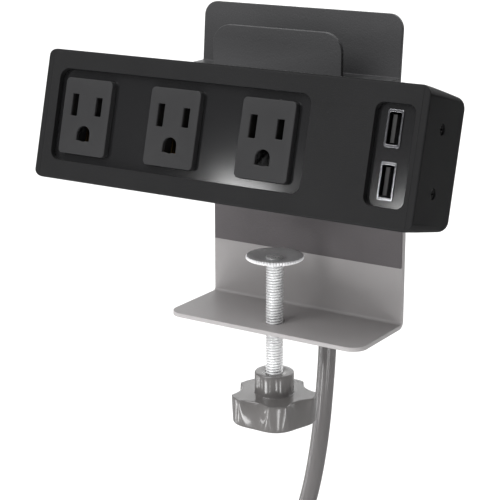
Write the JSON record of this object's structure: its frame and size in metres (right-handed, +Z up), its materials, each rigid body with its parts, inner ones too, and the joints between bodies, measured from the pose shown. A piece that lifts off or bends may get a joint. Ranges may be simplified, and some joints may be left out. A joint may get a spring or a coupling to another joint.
{
  "type": "desk power strip",
  "caption": "Desk power strip with mains outlets and USB ports in a leaning housing, on a screw clamp for a desk edge, with a phone channel behind it and its mains lead",
  "frame": {"origin": "middle of the upper jaw pad's underside, where it rests on the desk's top", "axes": "+X along the strip to the right of the user, +Y away from the user and over the desk edge, +Z up"},
  "size_m": [0.1834, 0.1283, 0.4274],
  "materials": {
    "housing": "black moulded plastic with a fine matte grain",
    "gloss_tray": "polished black plastic",
    "outlet_face": "dark grey plastic, smooth satin",
    "brass_contacts": "plain stamped brass",
    "wire_cover": "extruded wire insulation",
    "port_steel": "nickel plated stamping",
    "port_plastic": "black moulded insulator",
    "circuit_board": "green solder mask",
    "converter": "taped transformer and cans",
    "black_sheet": "dark grey powder coat, satin",
    "grey_sheet": "warm grey powder coat, satin",
    "black_steel": "black oxide",
    "jaw_foam": "closed cell foam",
    "edge_foam": "closed cell foam, dark grey",
    "bush_steel": "zinc plated, turned",
    "disc_steel": "nickel plated pressing, satin",
    "zinc_screw": "bright zinc plated thread",
    "knob_plastic": "grey moulded plastic, glossy",
    "gland_rubber": "black moulded rubber",
    "lead_cover": "grey extruded PVC, glossy",
    "tie_fabric": "woven hook and loop strap",
    "plug_cover": "grey moulded PVC",
    "plug_brass": "nickel plated blades"
  },
  "bodies": {
    "strip": {"housing_body": "housing", "end_cap_left": "housing", "end_cap_right": "housing", "cap_screws": "black_steel", "outlet_tray": "gloss_tray", "usb_tray": "gloss_tray", "receptacle_1": "outlet_face", "receptacle_2": "outlet_face", "receptacle_3": "outlet_face", "hot_bar": "brass_contacts", "neutral_bar": "brass_contacts", "ground_bar": "brass_contacts", "inner_leads": "wire_cover", "usb_port_upper": "port_steel", "usb_port_lower": "port_steel", "usb_tongue_upper": "port_plastic", "usb_tongue_lower": "port_plastic", "usb_board": "circuit_board", "usb_converter": "converter", "strip_bracket": "black_sheet", "bracket_screws": "black_steel", "holder_channel": "black_sheet", "holder_rivets": "black_steel", "clamp_frame": "grey_sheet", "jaw_rivets": "black_steel", "jaw_pad": "jaw_foam", "edge_pad": "edge_foam", "screw_bush": "bush_steel", "cord_gland": "gland_rubber", "cord_lead": "lead_cover", "cord_coil": "lead_cover", "cord_tail": "lead_cover", "coil_tie": "tie_fabric", "plug_body": "plug_cover", "plug_pins": "plug_brass"},
    "disc": {"press_disc": "disc_steel"},
    "screw": {"clamp_screw": "zinc_screw", "star_knob": "knob_plastic"}
  },
  "joints": [
    {"name": "clamp_travel", "type": "slide", "parent": "strip", "child": "disc", "axis": [0, 0, 1], "range_m": [-0.027, 0.019]},
    {"name": "screw_turn", "type": "hinge", "parent": "disc", "child": "screw", "pos_m": [0, -0.0062, -0.06], "axis": [0, 0, 1], "range_deg": [-7777, 5473]}
  ],
  "couplings": [
    {"joint": "screw_turn", "follows": "clamp_travel", "rad_per_m": 5026.5}
  ]
}
